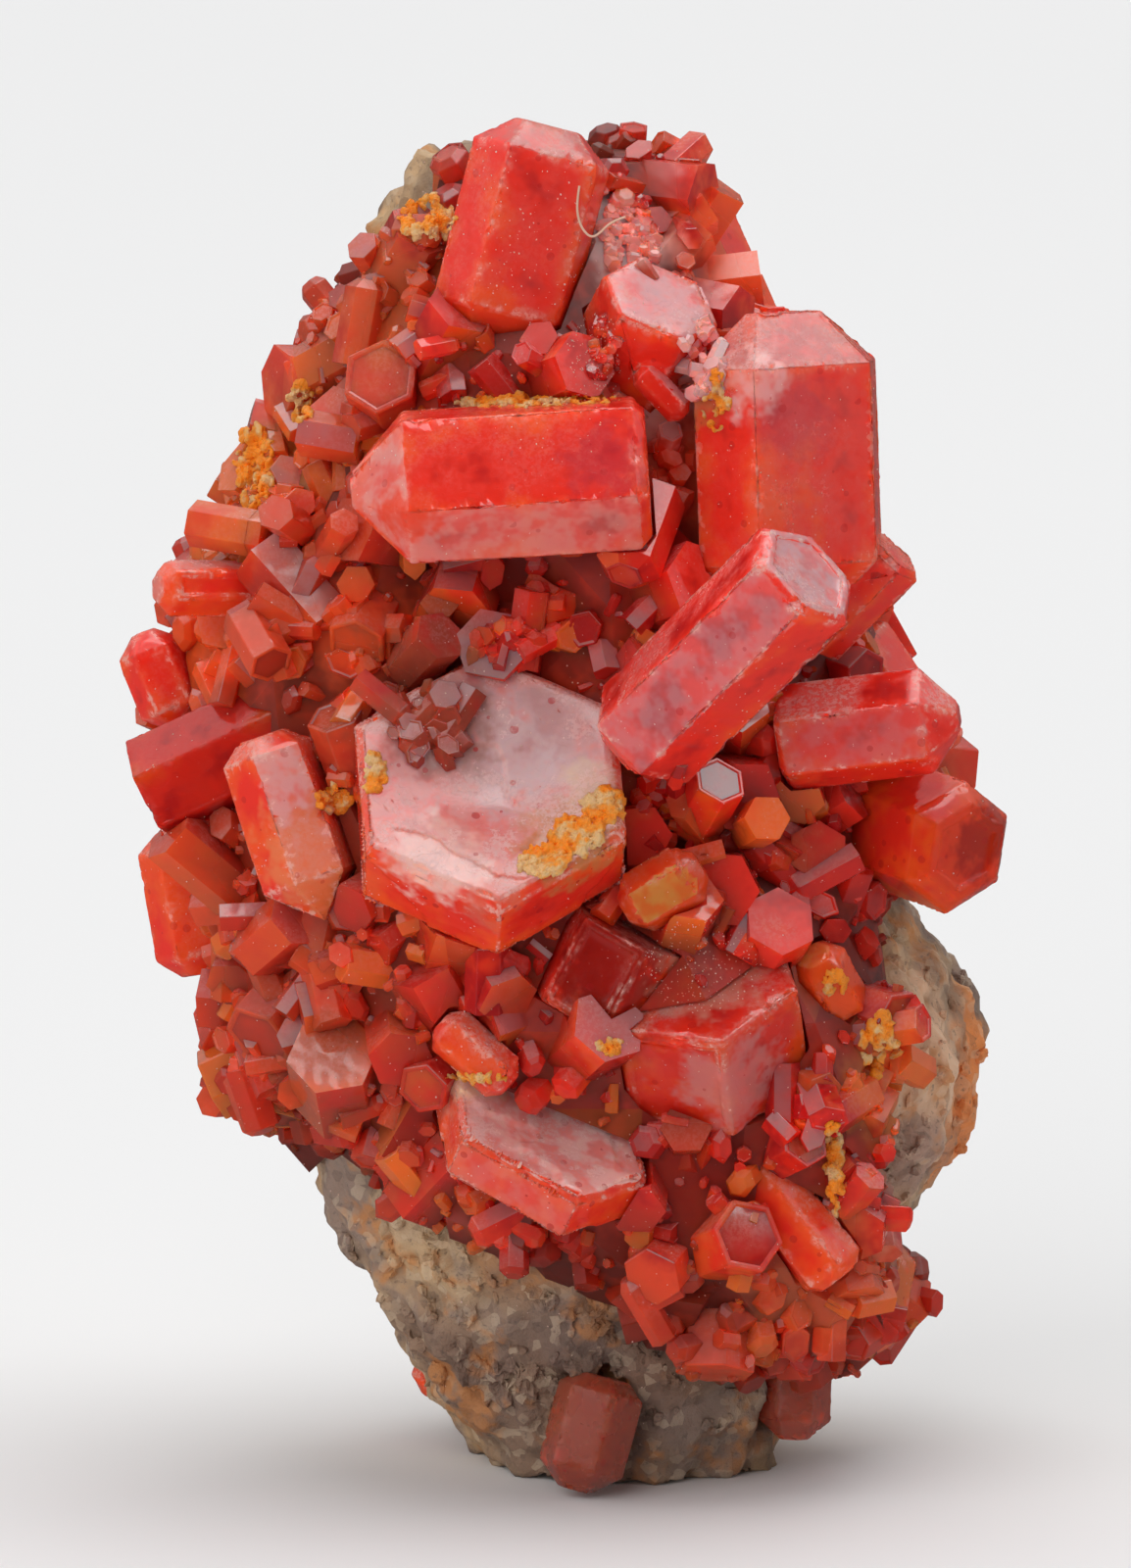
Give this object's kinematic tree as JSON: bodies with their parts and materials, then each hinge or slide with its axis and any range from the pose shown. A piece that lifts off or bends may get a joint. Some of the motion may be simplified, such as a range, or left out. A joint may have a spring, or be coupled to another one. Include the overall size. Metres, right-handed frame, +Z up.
{
  "type": "vanadinite specimen",
  "caption": "Thumbnail mineral specimen: stubby red hexagonal crystals crowded over the front of an upright lump of brown rock.",
  "frame": {"origin": "middle of the foot's display side: a point on the flat foot of the rock, below the middle of the specimen as the display side shows it", "axes": "+Z up, the specimen's long direction; -Y towards the viewer of the display side; +X to that viewer's right"},
  "size_m": [0.0113, 0.0107, 0.0176],
  "materials": {
    "back_left_crystal": "glassy, resinous",
    "back_top_crystal": "glassy, resinous",
    "bright_bar": "glassy, resinous",
    "central_plate": "glassy, resinous",
    "crystal_crust": "glassy small faces",
    "cube_and_block": "glassy, resinous",
    "far_right_crystal": "glassy, resinous",
    "front_foot_crystal": "glassy, resinous",
    "golden_blade": "glassy, resinous",
    "left_bar": "glassy, resinous",
    "left_block": "glassy, resinous",
    "left_corner_crystal": "glassy, resinous",
    "left_foot_crystal": "glassy, resinous",
    "left_prism": "glassy, resinous",
    "long_prism": "glassy, resinous",
    "lower_plate": "glassy, resinous",
    "lower_right_prism": "glassy, resinous",
    "matrix": "rough, dull",
    "orange_crystal": "glassy, resinous",
    "right_big_crystal": "glassy, resinous",
    "right_block": "glassy, resinous",
    "right_foot_crystal": "glassy, resinous",
    "right_lower_crystal": "glassy, resinous",
    "right_wedge": "glassy, resinous",
    "shoulder_crystal": "glassy, resinous",
    "tilted_prism": "glassy, resinous",
    "top_crystal": "glassy, resinous"
  },
  "bodies": {
    "root": {"back_left_crystal": "back_left_crystal", "back_top_crystal": "back_top_crystal", "bright_bar": "bright_bar", "central_plate": "central_plate", "crystal_crust": "crystal_crust", "cube_and_block": "cube_and_block", "far_right_crystal": "far_right_crystal", "front_foot_crystal": "front_foot_crystal", "golden_blade": "golden_blade", "left_bar": "left_bar", "left_block": "left_block", "left_corner_crystal": "left_corner_crystal", "left_foot_crystal": "left_foot_crystal", "left_prism": "left_prism", "long_prism": "long_prism", "lower_plate": "lower_plate", "lower_right_prism": "lower_right_prism", "matrix": "matrix", "orange_crystal": "orange_crystal", "right_big_crystal": "right_big_crystal", "right_block": "right_block", "right_foot_crystal": "right_foot_crystal", "right_lower_crystal": "right_lower_crystal", "right_wedge": "right_wedge", "shoulder_crystal": "shoulder_crystal", "tilted_prism": "tilted_prism", "top_crystal": "top_crystal"}
  },
  "joints": []
}
